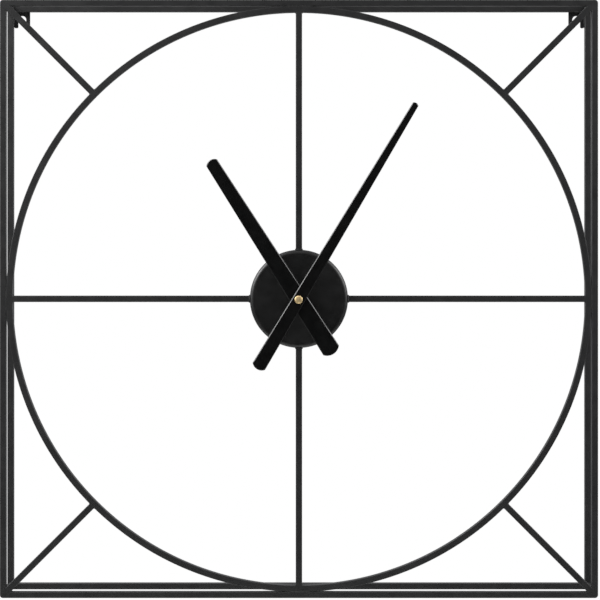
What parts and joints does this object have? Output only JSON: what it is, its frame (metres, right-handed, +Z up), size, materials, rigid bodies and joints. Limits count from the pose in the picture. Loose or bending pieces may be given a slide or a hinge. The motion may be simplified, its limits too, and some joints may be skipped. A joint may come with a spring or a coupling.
{
  "type": "wall clock",
  "caption": "Open square wall clock: black square-bar frame with a ring, spokes and corner braces, a round hub, two plain tapered hands and a battery movement.",
  "frame": {"origin": "on the axis of the hands, in the plane of the wall that the back of the frame rests on", "axes": "+X to the right of the person reading the clock, +Y into the wall, +Z up; the hands turn clockwise about +Y"},
  "size_m": [0.6, 0.0743, 0.6],
  "materials": {
    "frame_coat": "satin black powder coat",
    "hub_paint": "satin black paint",
    "hand_paint": "thin sheet, painted satin black",
    "case_plastic": "fine moulded texture",
    "gear_plastic": "natural acetal",
    "brass": "turned",
    "steel": "bright",
    "gasket_rubber": "matt",
    "coil_wire": "lacquered copper winding",
    "circuit_board": "solder mask",
    "battery_jacket": "plain printed jacket, no lettering"
  },
  "bodies": {
    "frame": {"front_bar_top": "frame_coat", "front_bar_bottom": "frame_coat", "front_bar_left": "frame_coat", "front_bar_right": "frame_coat", "back_bar_top": "frame_coat", "back_bar_bottom": "frame_coat", "back_bar_left": "frame_coat", "back_bar_right": "frame_coat", "corner_post_top_left": "frame_coat", "corner_post_top_right": "frame_coat", "corner_post_bottom_left": "frame_coat", "corner_post_bottom_right": "frame_coat", "ring": "frame_coat", "spoke_top": "frame_coat", "spoke_bottom": "frame_coat", "spoke_left": "frame_coat", "spoke_right": "frame_coat", "corner_brace_top_right": "frame_coat", "corner_brace_top_left": "frame_coat", "corner_brace_bottom_left": "frame_coat", "corner_brace_bottom_right": "frame_coat", "hanger_plate_left": "frame_coat", "hanger_plate_right": "frame_coat", "hub_pan": "hub_paint", "hub_gasket": "gasket_rubber", "fixing_washer": "brass", "fixing_nut": "brass", "movement_case": "case_plastic", "middle_plate": "case_plastic", "train_bridge": "case_plastic", "rear_cover": "case_plastic", "stator": "steel", "coil": "coil_wire", "circuit_board": "circuit_board", "quartz_crystal": "steel", "battery": "battery_jacket", "contact_positive": "steel", "contact_negative": "steel"},
    "minute": {"minute_hand": "hand_paint", "minute_arbor": "steel", "cap_nut": "brass"},
    "hour": {"hour_hand": "hand_paint", "hour_wheel": "gear_plastic"},
    "counter": {"counter_wheel": "gear_plastic"},
    "knob": {"setting_knob": "case_plastic"},
    "rotor": {"rotor": "steel"},
    "fifth": {"fifth_wheel": "gear_plastic"},
    "fourth": {"fourth_wheel": "gear_plastic"},
    "third": {"third_wheel": "gear_plastic"},
    "centre": {"centre_wheel": "brass"}
  },
  "joints": [
    {"name": "minute_turn", "type": "hinge", "parent": "frame", "child": "minute", "pos_m": [0, -0.0698, 0], "axis": [0, 1, 0], "continuous": true},
    {"name": "hour_turn", "type": "hinge", "parent": "frame", "child": "hour", "pos_m": [0, -0.067, 0], "axis": [0, 1, 0], "continuous": true},
    {"name": "counter_turn", "type": "hinge", "parent": "frame", "child": "counter", "pos_m": [-0.01039, -0.0467, 0.006], "axis": [0, 1, 0], "continuous": true},
    {"name": "knob_turn", "type": "hinge", "parent": "frame", "child": "knob", "pos_m": [-0.01248, -0.0325, 0.01782], "axis": [0, 1, 0], "continuous": true},
    {"name": "rotor_turn", "type": "hinge", "parent": "frame", "child": "rotor", "pos_m": [0.00288, -0.0385, 0.01362], "axis": [0, 1, 0], "continuous": true},
    {"name": "fifth_turn", "type": "hinge", "parent": "frame", "child": "fifth", "pos_m": [0.00066, -0.0404, 0.00753], "axis": [0, 1, 0], "continuous": true},
    {"name": "fourth_turn", "type": "hinge", "parent": "frame", "child": "fourth", "pos_m": [0, -0.0417, 0], "axis": [0, 1, 0], "continuous": true},
    {"name": "third_turn", "type": "hinge", "parent": "frame", "child": "third", "pos_m": [0.00904, -0.043, 0.00159], "axis": [0, 1, 0], "continuous": true},
    {"name": "centre_turn", "type": "hinge", "parent": "frame", "child": "centre", "pos_m": [0, -0.0454, 0], "axis": [0, 1, 0], "continuous": true}
  ],
  "couplings": [
    {"joint": "hour_turn", "follows": "minute_turn", "ratio": 0.083333},
    {"joint": "counter_turn", "follows": "minute_turn", "ratio": -0.33333},
    {"joint": "knob_turn", "follows": "minute_turn", "ratio": 1},
    {"joint": "fifth_turn", "follows": "rotor_turn", "ratio": -0.2},
    {"joint": "fourth_turn", "follows": "rotor_turn", "ratio": 0.033333},
    {"joint": "third_turn", "follows": "rotor_turn", "ratio": -0.0044444},
    {"joint": "centre_turn", "follows": "rotor_turn", "ratio": 0.00055556}
  ]
}
